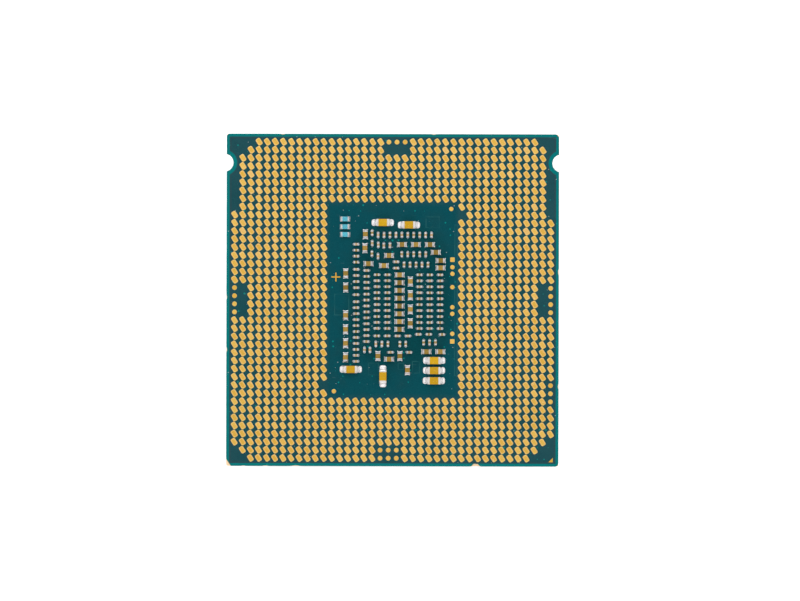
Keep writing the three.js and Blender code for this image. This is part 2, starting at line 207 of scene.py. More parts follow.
class Graph:
    """A material's node tree, with short calls for its nodes. Coordinates are millimetres."""

    def __init__(self, name):
        self.material = bpy.data.materials.new(name)
        self.material.use_nodes = True
        self.tree = self.material.node_tree
        self.shader = self.tree.nodes["Principled BSDF"]
        metres = self.add("ShaderNodeTexCoord", "Object")
        self.place = self.add("ShaderNodeVectorMath", 0, {0: metres, "Scale": 1 / MM}, operation="SCALE")

    def feed(self, socket, value):
        if isinstance(value, bpy.types.NodeSocket):
            self.tree.links.new(value, socket)
        elif isinstance(value, (tuple, list)) and len(value) == 3 and socket.type == "RGBA":
            socket.default_value = (*value, 1)
        else:
            socket.default_value = value

    def add(self, kind, output=0, feeds=(), **settings):
        node = self.tree.nodes.new(kind)
        for key, value in settings.items():
            setattr(node, key, value)
        for key, value in dict(feeds).items():
            self.feed(node.inputs[key], value)
        return node.outputs[output]

    def math(self, operation, a, b=0.0):
        return self.add("ShaderNodeMath", 0, {0: a, 1: b}, operation=operation)

    def mix(self, share, a, b):
        """Colour a, or b where the share is 1."""
        return self.add("ShaderNodeMix", 2, {0: share, 6: a, 7: b}, data_type="RGBA")

    def step(self, value, low, high, out_low=0.0, out_high=1.0):
        """Goes smoothly from out_low to out_high while the value goes from low to high."""
        feeds = {0: value, 1: low, 2: high, 3: out_low, 4: out_high}
        return self.add("ShaderNodeMapRange", 0, feeds, interpolation_type="SMOOTHSTEP")

    def stretch(self, x, y, z):
        """Coordinates for a pattern that is drawn out along the axes with the smaller factors."""
        feeds = {0: self.place, 1: (x, y, z)}
        return self.add("ShaderNodeVectorMath", 0, feeds, operation="MULTIPLY")

    def noise(self, scale, detail, vector=None, distortion=0.0):
        place = self.place if vector is None else vector
        feeds = {"Vector": place, "Scale": scale, "Detail": detail, "Distortion": distortion}
        return self.add("ShaderNodeTexNoise", "Fac", feeds)

    def specks(self, scale, radius, share, vector=None, flat=False):
        """Small round specks: one in some cells of a Voronoi pattern, seen from above if flat."""
        place = self.place if vector is None else vector
        node = self.tree.nodes.new("ShaderNodeTexVoronoi")
        node.voronoi_dimensions = "2D" if flat else "3D"
        self.feed(node.inputs["Vector"], place)
        node.inputs["Scale"].default_value = scale
        size = self.math("MULTIPLY", self.channel(node.outputs["Color"], 0), radius * scale)
        spot = self.math("LESS_THAN", node.outputs["Distance"], size)
        chosen = self.math("LESS_THAN", self.channel(node.outputs["Color"], 1), share)
        return self.math("MULTIPLY", spot, chosen)

    def channel(self, colour, index):
        return self.add("ShaderNodeSeparateColor", index, {0: colour})

    def tint(self, index):
        """One of the three numbers that the mesh carries at each point."""
        colour = self.add("ShaderNodeAttribute", "Color", attribute_name="tint")
        return self.channel(colour, index)

    def axis(self, index):
        return self.add("ShaderNodeSeparateXYZ", index, {0: self.place})

    def bump(self, height, depth, strength):
        """depth is in millimetres."""
        feeds = {"Height": height, "Distance": depth * MM, "Strength": strength}
        return self.add("ShaderNodeBump", 0, feeds)

    def finish(self, colour, roughness, metallic=0.0, normal=None, specular=0.5):
        self.feed(self.shader.inputs["Base Color"], colour)
        self.feed(self.shader.inputs["Roughness"], roughness)
        self.shader.inputs["Metallic"].default_value = metallic
        self.shader.inputs["Specular IOR Level"].default_value = specular
        if normal is not None:
            self.feed(self.shader.inputs["Normal"], normal)
        return self.material


# ---- materials --------------------------------------------------------------

# Copper that shows faintly through the land-side mask: empty pads and a few tracks, as the
# middle, width and height of their outlines.
GHOSTS = [
    (-2.14, -7.76, 1.12, 1.31),
    (2.66, -7.56, 0.80, 1.31),
    (0.95, -7.45, 0.62, 0.70),
    (4.50, 8.80, 1.50, 1.20),
    (-5.74, -0.51, 1.60, 2.34),
    (7.15, 0.0, 0.30, 17.0),
]
# Middle and half sizes of the area that is crowded with chips, where the mask gets painted shade
# standing in for their shadow.
CROWD_X, CROWD_Y, CROWD_WIDE, CROWD_HIGH = 0.8, 0.4, 6.2, 8.6
NOTCH_CLEAR = 0.1                          # how much wider the bare rim is round a notch


def ghost_lines(g, x, y):
    """1 on the outlines of the buried copper, fading out beside them."""
    total = 0.0
    for cx, cy, width, height in GHOSTS:
        dx = g.math("SUBTRACT", g.math("ABSOLUTE", g.math("SUBTRACT", x, cx)), width / 2)
        dy = g.math("SUBTRACT", g.math("ABSOLUTE", g.math("SUBTRACT", y, cy)), height / 2)
        gap = g.math("ABSOLUTE", g.math("MAXIMUM", dx, dy))
        total = g.math("MAXIMUM", g.step(gap, 0.03, 0.08, 1.0, 0.0), total)
    return total


def solder_mask(name, ghosts):
    """Glossy teal lacquer: darker over copper, brighter on the bare rim and round the notches, and
    darkened with painted shade among the chips.
    """
    g = Graph(name)
    x, y = g.axis(0), g.axis(1)
    ax, ay = g.math("ABSOLUTE", x), g.math("ABSOLUTE", y)
    to_edge = g.math("SUBTRACT", HALF, g.math("MAXIMUM", ax, ay))
    dx = g.math("SUBTRACT", HALF + NOTCH_OUTSIDE, ax)
    dy = g.math("SUBTRACT", y, NOTCH_Y)
    reach = g.math("SQRT", g.math("ADD", g.math("MULTIPLY", dx, dx), g.math("MULTIPLY", dy, dy)))
    to_notch = g.math("SUBTRACT", reach, NOTCH_RADIUS + NOTCH_CLEAR)
    margin = g.math("MINIMUM", to_edge, to_notch)
    wobble = g.math("MULTIPLY", g.math("SUBTRACT", g.noise(3.0, 2), 0.5), 0.05)
    margin = g.math("ADD", margin, wobble)
    copper = g.step(margin, 0.29, 0.37)
    ring = g.math("SUBTRACT", g.step(margin, 0.28, 0.40), g.step(margin, 0.40, 0.66))

    # the first colour is painted shade: the mask among the chips is darkened to stand in for their
    # shadow
    painted_chip_shade, clear, among_lands = (0.0002, 0.043, 0.052), (0.001, 0.059, 0.078), (0.016, 0.064, 0.077)
    crowd_x = g.math("MULTIPLY", g.math("SUBTRACT", x, CROWD_X), 1 / CROWD_WIDE)
    crowd_y = g.math("MULTIPLY", g.math("SUBTRACT", y, CROWD_Y), 1 / CROWD_HIGH)
    crowd = g.math("ADD", g.math("POWER", g.math("ABSOLUTE", crowd_x), 3.0),
                   g.math("POWER", g.math("ABSOLUTE", crowd_y), 3.0))
    middle = g.mix(g.step(crowd, 0.55, 1.1), painted_chip_shade, clear)
    outside = g.math("MAXIMUM", g.step(ax, 6.9, 7.7), g.step(ay, 10.4, 11.4))
    copper_tone_and_shade = g.mix(outside, middle, among_lands)
    clouds = g.step(g.noise(0.35, 4), 0.4, 0.75, 0.0, 0.7)
    copper_tone_and_shade = g.mix(clouds, copper_tone_and_shade, (0.006, 0.050, 0.062))
    copper_tone_and_shade = g.mix(g.math("MULTIPLY", ring, 0.55), copper_tone_and_shade, (0.036, 0.052, 0.064))
    rim = g.mix(g.noise(1.4, 4), (0.0, 0.204, 0.200), (0.001, 0.150, 0.153))
    colour = g.mix(copper, rim, copper_tone_and_shade)
    grain = g.step(g.noise(26, 4), 0.3, 0.7)
    colour = g.mix(0.22, colour, g.mix(grain, (0, 0.012, 0.018), (0.004, 0.12, 0.13)))
    if ghosts:
        strength = g.step(g.noise(0.9, 2), 0.35, 0.65, 0.08, 0.36)
        shown = g.math("MULTIPLY", ghost_lines(g, x, y), strength)
        colour = g.mix(shown, colour, (0.030, 0.130, 0.130))
    teal = g.specks(1.5, 0.10, 0.17, flat=True)
    colour = g.mix(g.math("MULTIPLY", teal, 0.75), colour, (0.0, 0.25, 0.23))
    dust = g.specks(1.3, 0.065, 0.15, g.stretch(1.0, 1.3, 1.0), flat=True)
    colour = g.mix(g.math("MULTIPLY", dust, 0.55), colour, (0.45, 0.52, 0.52))
    scuffs = g.noise(1.0, 6, g.stretch(0.6, 5.0, 1.0), 1.5)
    scuffs = g.math("MULTIPLY", g.step(scuffs, 0.68, 0.74), 0.10)
    colour = g.mix(scuffs, colour, (0.35, 0.45, 0.45))
    roughness = g.step(g.noise(0.8, 5), 0.2, 0.8, 0.18, 0.32)
    height = g.math("ADD", g.math("MULTIPLY", g.noise(9, 4), 0.5), g.math("MULTIPLY", dust, 2.0))
    return g.finish(colour, roughness, normal=g.bump(height, 0.004, 0.5), specular=0.035)


def gold(name):
    """Gold flash over nickel: each land a little different, with a painted highlight on its rounded rim.
    """
    g = Graph(name)
    shade, rim, blush = g.tint(0), g.tint(1), g.tint(2)
    plate = g.mix(shade, (0.70, 0.40, 0.058), (0.79, 0.50, 0.11))
    plate = g.mix(g.step(blush, 0.965, 1.0, 0.0, 0.28), plate, (0.90, 0.68, 0.40))
    # painted highlight: the rim gets a paler colour that stands in for the light its rounded edge
    # catches
    colour = g.mix(g.math("MULTIPLY", rim, 0.8), plate, (0.90, 0.60, 0.22))
    mottle = g.noise(7, 5)
    colour = g.mix(g.step(mottle, 0.45, 0.75, 0.0, 0.4), colour, (0.62, 0.33, 0.035))
    worn = g.step(g.noise(2.3, 3), 0.62, 0.76, 0.0, 0.45)
    colour = g.mix(worn, colour, (0.88, 0.65, 0.38))
    pits = g.specks(9, 0.02, 0.25)
    colour = g.mix(g.math("MULTIPLY", pits, 0.6), colour, (0.35, 0.20, 0.06))
    roughness = g.step(g.noise(11, 5), 0.2, 0.8, 0.30, 0.44)
    height = g.math("SUBTRACT", g.noise(30, 5), g.math("MULTIPLY", pits, 1.5))
    return g.finish(colour, roughness, 1.0, g.bump(height, 0.004, 0.6))


def tin(name, bright, dull, rough):
    """Solder or tin plating: cloudy grain, a little warmer on some chips than on others."""
    g = Graph(name)
    grain = g.noise(14, 6)
    shade = g.mix(g.step(grain, 0.35, 0.7), bright, dull)
    shade = g.mix(g.math("MULTIPLY", g.tint(0), 0.25), shade, (0.86, 0.78, 0.72))
    roughness = g.step(g.noise(22, 5), 0.25, 0.75, *rough)
    return g.finish(shade, roughness, 1.0, g.bump(g.noise(18, 6), 0.010, 0.7))


def ceramic(name, pale, dark, rough=(0.38, 0.58)):
    """Fired ceramic: fine grain, and a shade of its own for each chip."""
    g = Graph(name)
    colour = g.mix(g.tint(0), pale, dark)
    grain = g.step(g.noise(20, 5), 0.4, 0.75, 0.0, 0.35)
    colour = g.mix(grain, colour, tuple(c * 0.55 for c in dark))
    spots = g.specks(16, 0.018, 0.3)
    colour = g.mix(g.math("MULTIPLY", spots, 0.5), colour, (0.9, 0.85, 0.75))
    roughness = g.step(g.noise(15, 4), 0.2, 0.8, *rough)
    return g.finish(colour, roughness, normal=g.bump(g.noise(35, 5), 0.004, 0.6), specular=0.2)


def laminate(name):
    """Cut edge of the glass-filled board: resin, fibre bundles and thin copper planes.

    Its upper face, which shows only where the layers over it are chipped, is fresh and pale.
    """
    g = Graph(name)
    low, high = box_mm("core_laminate")
    z = g.axis(2)
    fibres = g.noise(2.2, 6, g.stretch(1.0, 1.0, 16.0), 0.4)
    colour = g.mix(g.step(fibres, 0.35, 0.68), (0.22, 0.155, 0.058), (0.47, 0.37, 0.18))
    strands = g.noise(3.0, 4, g.stretch(9.0, 9.0, 5.0))
    colour = g.mix(g.step(strands, 0.55, 0.72, 0.0, 0.6), colour, (0.62, 0.56, 0.38))
    smears = g.step(g.noise(0.8, 5), 0.5, 0.75, 0.0, 0.45)
    colour = g.mix(smears, colour, (0.07, 0.10, 0.05))
    fresh = g.mix(strands, (0.80, 0.50, 0.24), (0.95, 0.76, 0.54))
    colour = g.mix(g.step(z, high[2] - 0.02, high[2] - 0.004), colour, fresh)
    for level in (low[2] + 0.03, high[2] - 0.05):
        near = g.math("LESS_THAN", g.math("ABSOLUTE", g.math("SUBTRACT", z, level)), 0.012)
        broken = g.step(g.noise(2.0, 3), 0.35, 0.5)
        colour = g.mix(g.math("MULTIPLY", near, broken), colour, (0.72, 0.33, 0.13))
    roughness = g.step(g.noise(6, 4), 0.2, 0.8, 0.55, 0.8)
    height = g.math("ADD", fibres, g.math("MULTIPLY", strands, 0.6))
    return g.finish(colour, roughness, normal=g.bump(height, 0.03, 0.8))


def build_up_film(name):
    """Cut edge of the thin build-up layers, with pale crumbs of resin."""
    g = Graph(name)
    layers = g.noise(1.2, 5, g.stretch(1.0, 1.0, 40.0))
    colour = g.mix(g.step(layers, 0.35, 0.65), (0.10, 0.15, 0.06), (0.36, 0.33, 0.14))
    colour = g.mix(g.step(g.noise(2.5, 4), 0.55, 0.7, 0.0, 0.8), colour, (0.80, 0.62, 0.36))
    roughness = g.step(g.noise(8, 4), 0.2, 0.8, 0.45, 0.7)
    return g.finish(colour, roughness, normal=g.bump(layers, 0.012, 0.7))


def nickel(name):
    """Plated copper lid: fine tumbled grain, rolling lines and light handling marks."""
    g = Graph(name)
    lines = g.noise(1.6, 8, g.stretch(0.5, 14.0, 14.0))
    tumbled = g.noise(7, 8)
    colour = g.mix(g.step(lines, 0.35, 0.65), (0.40, 0.39, 0.37), (0.54, 0.53, 0.51))
    patches = g.step(g.noise(0.22, 4), 0.42, 0.7, 0.0, 0.22)
    colour = g.mix(patches, colour, (0.34, 0.31, 0.27))
    scratches = g.noise(0.9, 7, g.stretch(7.0, 0.35, 7.0), 0.6)
    marks = g.step(scratches, 0.66, 0.72, 0.0, 0.5)
    colour = g.mix(marks, colour, (0.70, 0.69, 0.67))
    roughness = g.math("ADD", g.step(tumbled, 0.3, 0.7, 0.26, 0.42), g.math("MULTIPLY", marks, 0.12))
    height = g.math("ADD", tumbled, g.math("MULTIPLY", lines, 0.7))
    return g.finish(colour, roughness, 1.0, g.bump(height, 0.006, 0.6))


def plain(name, pale, dark, rough, metallic=0.0, scale=6.0, depth=0.01):
    """A material with one grain, for the pieces that hardly show."""
    g = Graph(name)
    grain = g.noise(scale, 5)
    colour = g.mix(g.step(grain, 0.3, 0.7), pale, dark)
    roughness = g.step(g.noise(scale * 2, 4), 0.2, 0.8, *rough)
    return g.finish(colour, roughness, metallic, g.bump(grain, depth, 0.7))


MASK_LAND = solder_mask("land_side_mask", True)
MASK_LID = solder_mask("lid_side_mask", False)
GOLD = gold("gold_plate")
SOLDER = tin("solder", (0.93, 0.92, 0.93), (0.70, 0.69, 0.71), (0.22, 0.40))
THIN_SOLDER = tin("thin_solder", (0.80, 0.79, 0.81), (0.56, 0.55, 0.57), (0.26, 0.44))
MATT_TIN = tin("matt_tin", (0.70, 0.69, 0.69), (0.50, 0.49, 0.49), (0.34, 0.50))
TERMINATION = tin("termination", (0.64, 0.63, 0.65), (0.40, 0.39, 0.41), (0.34, 0.52))
OCHRE = ceramic("ochre_ceramic", (0.62, 0.348, 0.003), (0.50, 0.275, 0.003))
BROWN = ceramic("brown_ceramic", (0.40, 0.25, 0.050), (0.19, 0.12, 0.014))
TAN = ceramic("tan_ceramic", (0.48, 0.33, 0.19), (0.27, 0.19, 0.055))
BLUE = ceramic("blue_glaze", (0.085, 0.42, 0.53), (0.07, 0.37, 0.47), (0.22, 0.36))
LAMINATE = laminate("laminate")
FILM = build_up_film("build_up_film")
NICKEL = nickel("nickel_plate")
SEALANT = plain("sealant", (0.010, 0.010, 0.012), (0.022, 0.022, 0.024), (0.55, 0.8), depth=0.03)
INDIUM = plain("indium", (0.55, 0.56, 0.58), (0.40, 0.41, 0.43), (0.35, 0.55), metallic=1.0)
SILICON = plain("silicon", (0.035, 0.040, 0.050), (0.05, 0.055, 0.065), (0.08, 0.16),
                scale=1.5, depth=0.001)
EPOXY = plain("underfill_epoxy", (0.022, 0.018, 0.012), (0.035, 0.028, 0.018), (0.35, 0.55))


def carry_over(node, material):
    """Gives a CAD node that stays in view its final material."""
    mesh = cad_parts[node].data
    mesh.materials.clear()
    mesh.materials.append(material)


carry_over("thermal_interface", INDIUM)
carry_over("silicon_die", SILICON)
carry_over("solder_bumps", SOLDER)
carry_over("underfill", EPOXY)


# ---- substrate --------------------------------------------------------------

# Saw nicks along the edges: place on the outline, depth and half width.
NICKS = [
    (HALF, HALF, 0.30, 0.22),
    (HALF, -HALF, 0.10, 0.25),
    (-HALF, HALF, 0.10, 0.18),
    (9.41, -HALF, 0.36, 0.40),
    (-10.9, -HALF, 0.09, 0.45),
    (-14.3, -HALF, 0.07, 0.30),
    (-16.8, -HALF, 0.06, 0.22),
    (-HALF, -5.6, 0.10, 0.22),
    (-HALF, 0.3, 0.08, 0.20),
    (HALF, 3.2, 0.10, 0.30),
    (HALF, -9.7, 0.09, 0.22),
    (-12.4, HALF, 0.10, 0.18),
    (4.6, HALF, 0.08, 0.22),
]
# The corner that has broken off the upper layers, at -X -Y: the break's legs along X and Y.
BROKEN_X, BROKEN_Y = 0.58, 0.88
CORNER = 0.22
SAW_LOSS, SAW_ROUGH = 0.003, 0.006


def outline():
    """Points of the substrate's edge with their outward normals, counter-clockwise."""
    spacing, quarter, straight = 0.12, math.pi / 2, HALF - CORNER
    path = []

    def line(x0, y0, x1, y1):
        length = math.hypot(x1 - x0, y1 - y0)
        normal = ((y1 - y0) / length, (x0 - x1) / length)
        count = max(1, round(length / spacing))
        for k in range(count):
            t = k / count
            path.append((x0 + (x1 - x0) * t, y0 + (y1 - y0) * t, *normal))

    def arc(cx, cy, radius, start, end, outward, count):
        for k in range(count):
            a = start + (end - start) * k / count
            path.append((cx + radius * math.cos(a), cy + radius * math.sin(a),
                         outward * math.cos(a), outward * math.sin(a)))

    def corner(sx, sy, start):
        arc(sx * straight, sy * straight, CORNER, start, start + quarter, 1, 8)

    def notch(side, start, end):
        arc(side * (HALF + NOTCH_OUTSIDE), NOTCH_Y, NOTCH_RADIUS, start, end, -1, 40)

    half_angle = math.acos(NOTCH_OUTSIDE / NOTCH_RADIUS)
    chord = math.sqrt(NOTCH_RADIUS ** 2 - NOTCH_OUTSIDE ** 2)
    line(-straight, -HALF, straight, -HALF)
    corner(1, -1, -quarter)
    line(HALF, -straight, HALF, NOTCH_Y - chord)
    notch(1, math.pi + half_angle, math.pi - half_angle)
    line(HALF, NOTCH_Y + chord, HALF, straight)
    corner(1, 1, 0)
    line(straight, HALF, -straight, HALF)
    corner(-1, 1, quarter)
    line(-HALF, straight, -HALF, NOTCH_Y + chord)
    notch(-1, half_angle, -half_angle)
    line(-HALF, NOTCH_Y - chord, -HALF, -straight)
    corner(-1, -1, math.pi)
    return path


OUTLINE = outline()


def broken_off(x, y, bite):
    """Moves a point near the broken corner in to the line of the break."""
    short = bite - (x + HALF) / BROKEN_X - (y + HALF) / BROKEN_Y
    if short <= 0:
        return x, y
    push = short / (1 / BROKEN_X ** 2 + 1 / BROKEN_Y ** 2)
    return x + push / BROKEN_X, y + push / BROKEN_Y


def edge_ring(z, inset, bite, seed):
    """The outline drawn in by an inset, by a share of each nick and by the saw's roughness."""
    noise = random.Random(seed)
    drift, ring = 0.0, []
    for x, y, nx, ny in OUTLINE:
        drift = 0.8 * drift + noise.uniform(-SAW_ROUGH, SAW_ROUGH)
        depth = SAW_LOSS + inset + abs(drift)
        for cx, cy, deep, wide in NICKS:
            gap = math.hypot(x - cx, y - cy) / wide
            if gap < 2.5:
                depth += bite * deep * math.exp(-gap ** 4) * noise.uniform(0.8, 1.1)
        ring.append((*broken_off(x - nx * depth, y - ny * depth, bite), z))
    return ring


def board_layer(node, material, slot, bites, seed, soft=0.0):
    """One layer of the board.

    bites are the shares of each nick that it loses at its low and high faces, and soft is
    how much its upper edge is bevelled.
    """
    low, high = box_mm(node)
    z0, z1 = low[2], high[2]
    rings = [edge_ring(z0, 0.0, bites[0], seed)]
    for share in (0.35, 0.7):
        bite = bites[0] + (bites[1] - bites[0]) * share
        rings.append(edge_ring(z0 + (z1 - z0) * share, 0.002, bite, seed + round(share * 10)))
    rings.append(edge_ring(z1 - soft, 0.0, bites[1], seed))
    if soft:
        rings.append(edge_ring(z1, soft, bites[1], seed))
    body = Body()
    body.loft(rings)
    body.piece(f"{node}_piece", [material], slot, [node], sharp=28)


board_layer("lid_side_solder_mask", MASK_LID, "solder_mask", (0.3, 0.2), 11)
board_layer("lid_side_build_up", FILM, "build_up_film", (0.2, 0.1), 21)
board_layer("core_laminate", LAMINATE, "laminate", (0.05, 0.10), 31)
board_layer("land_side_build_up", FILM, "build_up_film", (0.9, 1.0), 41)
board_layer("land_side_solder_mask", MASK_LAND, "solder_mask", (1.0, 1.0), 51, soft=0.008)


# ---- lands and pads ---------------------------------------------------------

LAND_WIDTH, LAND_LENGTH, LAND_RADIUS, LAND_TILT = 0.560, 0.819, 0.165, math.radians(31.7)
GRID_PAD_RADIUS, ROUND_PAD_RADIUS, SQUARE_PAD_HALF, SQUARE_PAD_CORNER = 0.267, 0.245, 0.25, 0.06
# inset from the outline, height as a share of the rise, and how much it counts as rim, which also sets
# how much painted rim highlight the gold gets
LAND_PROFILE = [(0.0, 0.0, 1), (0.004, 0.62, 1), (0.032, 0.96, 1), (0.075, 1.0, 0.85),
                (0.120, 0.82, 0.2), (0.165, 0.72, 0.0)]
PAD_PROFILE = [(0.0, 0.0, 0.6), (0.004, 0.7, 0.6), (0.03, 1.0, 0.5), (0.07, 0.95, 0.1)]


def turned(ring, angle, x, y, z):
    c, s = math.cos(angle), math.sin(angle)
    return [(x + p[0] * c - p[1] * s, y + p[0] * s + p[1] * c, z) for p in ring]


def box_shape(w, h, radius):
    """A rectangle of half sizes w and h with rounded corners."""
    points = []
    for sx, sy, start in ((1, -1, -90), (1, 1, 0), (-1, 1, 90), (-1, -1, 180)):
        for k in range(4):
            a = math.radians(start + 30 * k)
            points.append((sx * (w - radius) + radius * math.cos(a),
                           sy * (h - radius) + radius * math.sin(a)))
    return points


def disc_shape(radius):
    count = 24
    angles = (2 * math.pi * k / count for k in range(count))
    return [(radius * math.cos(a), radius * math.sin(a)) for a in angles]


def land_shape(inset):
    radius = max(LAND_RADIUS - inset * 0.7, 0.03)
    return box_shape(LAND_WIDTH / 2 - inset, LAND_LENGTH / 2 - inset, radius)


def grid_pad(inset):
    return disc_shape(GRID_PAD_RADIUS - inset)


def round_pad(inset):
    return disc_shape(ROUND_PAD_RADIUS - inset)


def square_pad(inset):
    half = SQUARE_PAD_HALF - inset
    return box_shape(half, half, SQUARE_PAD_CORNER)


def add_land(body, x, y, rise):
    """A land with a raised rim and a slightly dished middle, a little off its nominal place."""
    tilt = LAND_TILT + math.radians(rng.uniform(-1.2, 1.2))
    x, y = x + rng.uniform(-0.008, 0.008), y + rng.uniform(-0.008, 0.008)
    grow = rng.uniform(-0.012, 0.008)
    dish = rng.uniform(0.75, 1.15)
    shade, blush = rng.random(), rng.random()
    rings, tints = [], []
    for inset, level, rim in LAND_PROFILE:
        height = rise * min(1.0, level if rim > 0.5 else 1 - (1 - level) * dish)
        rings.append(turned(land_shape(inset - grow), tilt, x, y, TOP + height))
        tints.append((shade, rim, blush))
    body.loft(rings, tints=tints)


def add_pad(body, x, y, rise, shape):
    """A small test pad, whose outline shape gives for an inset."""
    shade, blush = rng.random(), rng.random()
    rings, tints = [], []
    for inset, level, rim in PAD_PROFILE:
        rings.append(turned(shape(inset), 0.0, x, y, TOP + rise * level))
        tints.append((shade, rim, blush))
    body.loft(rings, tints=tints)


def land_field(node):
    """A land on each grid cell that the CAD sheet covers, or a test pad where the sheet is thin."""
    faces = triangles(node)
    low, high = box_mm(node)
    full = high[2] - TOP
    body = Body()
    for row in range(GRID):
        for column in range(GRID):
            x = (column - (GRID - 1) / 2) * PITCH
            y = ((GRID - 1) / 2 - row) * PITCH
            if not (low[0] < x < high[0] and low[1] < y < high[1]):
                continue
            level = height_at(faces, x, y)
            if level is None:
                continue
            if level - TOP > 0.8 * full:
                add_land(body, x, y, full)
            else:
                add_pad(body, x, y, level - TOP, grid_pad)
    body.piece(f"{node}_lands", [GOLD], "gold_plate", [node], sharp=60)


for side in ("north", "south", "west", "east"):
    land_field(f"land_field_{side}")


def pad_piece(node, pads):
    body = Body()
    rise = box_mm(node)[1][2] - TOP
    for x, y, shape in pads:
        add_pad(body, x, y, rise, shape)
    body.piece(f"{node}_piece", [GOLD], "gold_plate", [node], sharp=60)


def marks():
    """The fiducials and the probe pads."""
    for node in ("fiducial_upper_right", "fiducial_lower_left"):
        low, high = box_mm(node)
        middle = (low + high) / 2
        pad_piece(node, [(middle[0], middle[1], round_pad)])
    probes = top_patches("probe_pads")         # the first and the last are square
    shapes = [square_pad, *[round_pad] * (len(probes) - 2), square_pad]
    pad_piece("probe_pads", [
        ((x0 + x1) / 2, (y0 + y1) / 2, shape) for (x0, y0, x1, y1), shape in zip(probes, shapes)
    ])


marks()
carry_over("pin_one_mark", GOLD)
carry_over("alignment_cross", GOLD)


# ---- chip components --------------------------------------------------------

# The CAD model's blocks are as long as a chip with its solder. termination is the length of one
# metal end, which rolls off by roll towards its tip. foot is the room for solder past the chip, and
# reach is how much of that the solder takes: the higher curve is, the flatter it lies there. slack
# is what the chip leaves free at each side, and spread how far the solder's foot goes past the
# chip's side. corner and wrap round the solder's outline at the pad's edge and at the chip, pinch
# draws in its end, flare pushes out its corners, and climb is how high it wets the chip.
KINDS = {
    "bulk": dict(ceramic=OCHRE, end=MATT_TIN, solder=SOLDER, slot="ochre_ceramic", termination=0.36,
                 foot=0.425, reach=(0.39, 0.425), slack=0.013, spread=-0.030, roll=0.22, curve=4.4,
                 corner=0.23, wrap=0.36, pinch=0.0, flare=0.0, climb=0.76),
    "medium": dict(ceramic=BROWN, end=TERMINATION, solder=THIN_SOLDER, slot="brown_ceramic",
                   termination=0.15, foot=0.20, reach=(0.185, 0.200), slack=0.02, spread=0.02,
                   roll=0.07, curve=3.2, corner=0.03, wrap=0.05, pinch=0.07, flare=0.05, climb=0.84),
    "small": dict(ceramic=TAN, end=TERMINATION, solder=SOLDER, slot="tan_ceramic", termination=0.18,
                  foot=0.13, reach=(0.115, 0.130), slack=0.013, spread=0.010, roll=0.10, curve=1.9,
                  corner=0.13, wrap=0.10, pinch=0.0, flare=0.0, climb=0.82),
    "resistor": dict(ceramic=BLUE, end=TERMINATION, solder=THIN_SOLDER, slot="blue_glaze",
                     termination=0.16, foot=0.14, reach=(0.13, 0.14), slack=0.015, spread=0.015,
                     roll=0.06, curve=2.6, corner=0.06, wrap=0.05, pinch=0.03, flare=0.02, climb=0.86),
}


def place(ring, x, y, quarter):
    """Moves a ring made along X to its chip, turned a quarter if the chip stands upright."""
    if quarter:
        return [(x - p[1], y + p[0], TOP + p[2]) for p in ring]
    return [(x + p[0], y + p[1], TOP + p[2]) for p in ring]


def ceramic_rings(half, waist, height):
    """The ceramic body between the metal ends: it stands off the board and lies below their tops."""
    corners = (0.03, 0.03)
    profile = [(0.03, 0.0), (height - 0.045, 0.0), (height - 0.026, 0.006), (height - 0.018, 0.022)]
    for z, inset in profile:
        yield rounded_ring(-half, half, -waist + inset, waist - inset, corners, z, 3)


def end_ring(sign, inner, outer, half, radius, z, steps=4, pinch=0.0):
    """A ring for one end of a chip: only its outer corners are rounded by much."""
    if sign < 0:
        return rounded_ring(-outer, -inner, -half, half, (radius, 0.02), z, steps, (pinch, 0))
    return rounded_ring(inner, outer, -half, half, (0.02, radius), z, steps, (0, pinch))


def termination_rings(k, sign, inside, outside, half, height):
    """The metal end wrapped round the chip, its top rolled off towards the tip."""
    roll, edge, wrap, steps = k["roll"], 0.05, k["wrap"], 6
    yield end_ring(sign, inside, outside, half, wrap, 0.02)
    for step in range(steps + 1):
        a = math.pi / 2 * step / steps
        z = height - roll * (1 - math.sin(a))
        over = min(edge, max(0.0, z - (height - edge)))
        side = edge - math.sqrt(edge ** 2 - over ** 2)
        tip = roll * (1 - math.cos(a))
        yield end_ring(sign, inside + side * 0.5, outside - tip, half - side, wrap + tip * 0.5, z)


def solder_rings(k, sign, inside, outside, half, height):
    """The fillet: nearly flat over the pad's edge and steep where it climbs the end face."""
    top = height * k["climb"] * rng.uniform(0.94, 1.06)
    reach = rng.uniform(*k["reach"])
    slump = rng.uniform(0.7, 1.2)
    lip, levels, film = 0.022, 10, 0.004
    deepest = min(k["pinch"] * slump, reach * 0.8)
    yield end_ring(sign, inside, outside + reach - 0.006, half + k["spread"], k["corner"], 0.0, 5,
                   deepest)
    for level in range(levels + 1):
        away = (1 - level / levels) ** 1.3
        outer = outside + film + (reach - film) * away - (0.01 if level == 0 else 0.0)
        side = half + film + (k["spread"] - 0.006) * min(1.0, away * 2)
        corner = k["corner"] + (k["wrap"] - k["corner"]) * (1 - away)
        z = lip + (top - lip) * (1 - away) ** k["curve"]
        ring = end_ring(sign, inside + 0.03, outer, side, corner, z, 5, deepest * away)
        along = ((sign * ring[:, 0] - inside) / (outer - inside)).clip(0)
        ring[:, 1] *= 1 + k["flare"] * away * along ** 2
        yield ring


def add_chip(body, k, x, y, length, width, height, upright):
    """A chip's ceramic body, its two metal ends and their solder."""
    def put(rings):
        return [place(ring, x, y, upright) for ring in rings]

    tint = (rng.random(), rng.random(), rng.random())
    outside = length / 2 - k["foot"]
    inside = outside - k["termination"]
    half = (width / 2 - k["slack"]) / (1 + k["flare"])
    body.loft(put(ceramic_rings(outside - k["termination"] / 2, half - 0.002, height)), 0, tint)
    for sign in (-1, 1):
        body.loft(put(termination_rings(k, sign, inside, outside, half, height)), 1, tint)
        body.loft(put(solder_rings(k, sign, inside, outside, half, height)), 2, tint)


